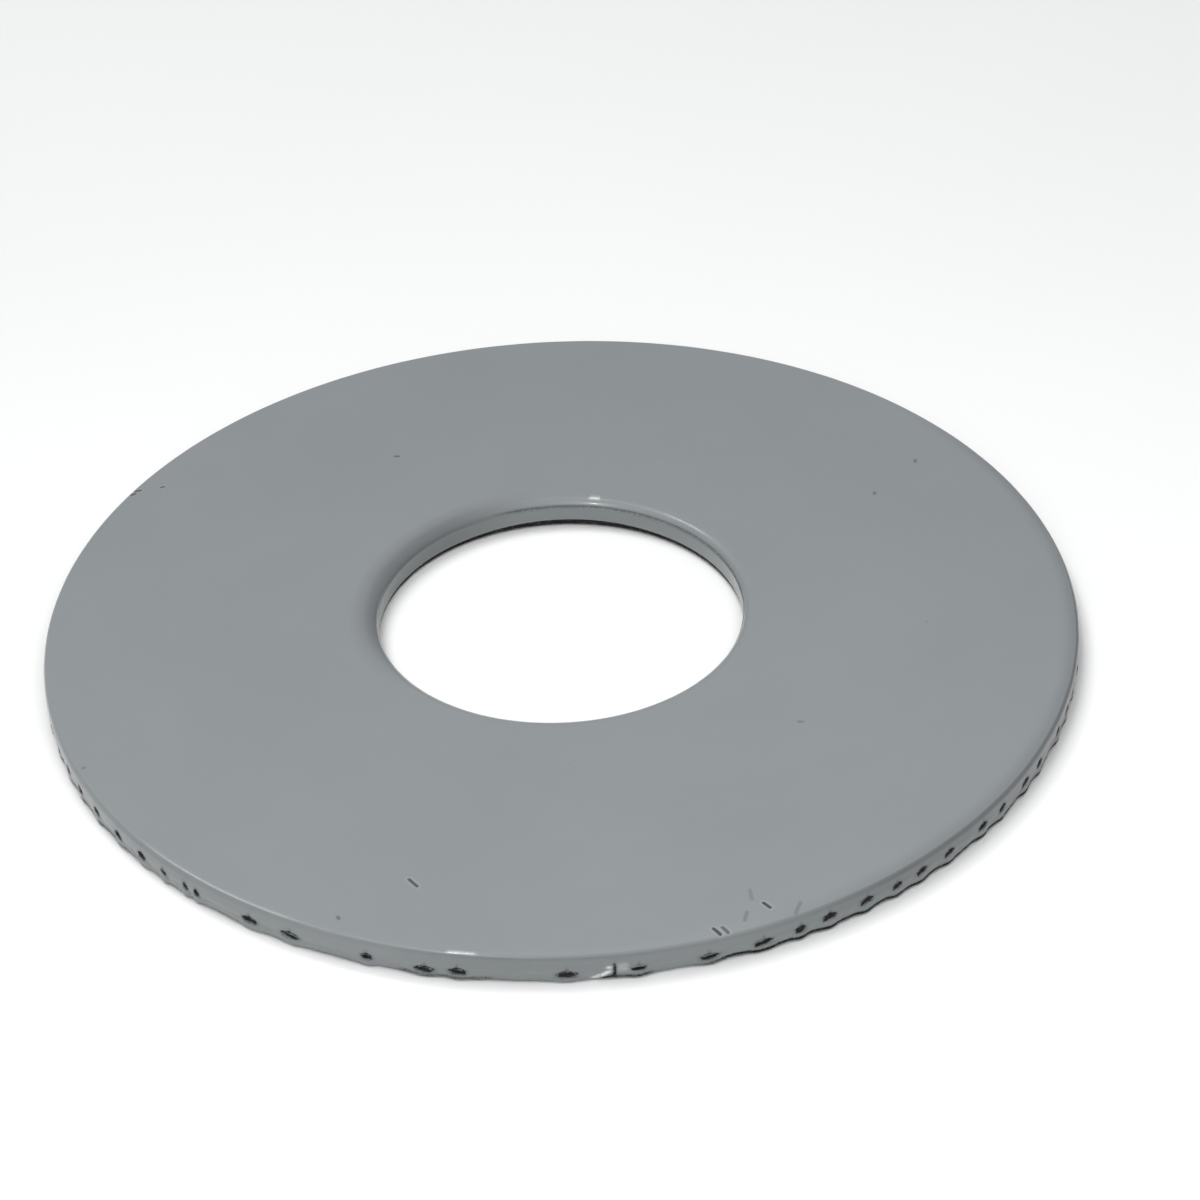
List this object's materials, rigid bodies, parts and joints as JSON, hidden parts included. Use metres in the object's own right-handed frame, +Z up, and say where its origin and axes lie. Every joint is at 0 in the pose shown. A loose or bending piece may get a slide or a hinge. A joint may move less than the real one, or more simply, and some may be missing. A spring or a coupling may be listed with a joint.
{
  "type": "flat washer",
  "caption": "Large flat washer punched from sheet steel and coated in glossy grey paint, to spread the load under a bolt head or nut.",
  "frame": {"origin": "on the bore's axis, in the plane that the washer stands on, which is the plane of the burrs' feet", "axes": "+Z up along the bore's axis, from the underside to the upper face with the rolled edges; X and Y lie in the standing plane and are interchangeable"},
  "size_m": [0.11, 0.11, 0.0033],
  "materials": {
    "bare_steel": "dark, torn and slightly oily steel, seen only where the paint is broken",
    "grey_paint": "glossy cool grey enamel, run thin over the rolled edges"
  },
  "bodies": {
    "root": {"steel_plate": "bare_steel", "paint_coat": "grey_paint"}
  },
  "joints": []
}
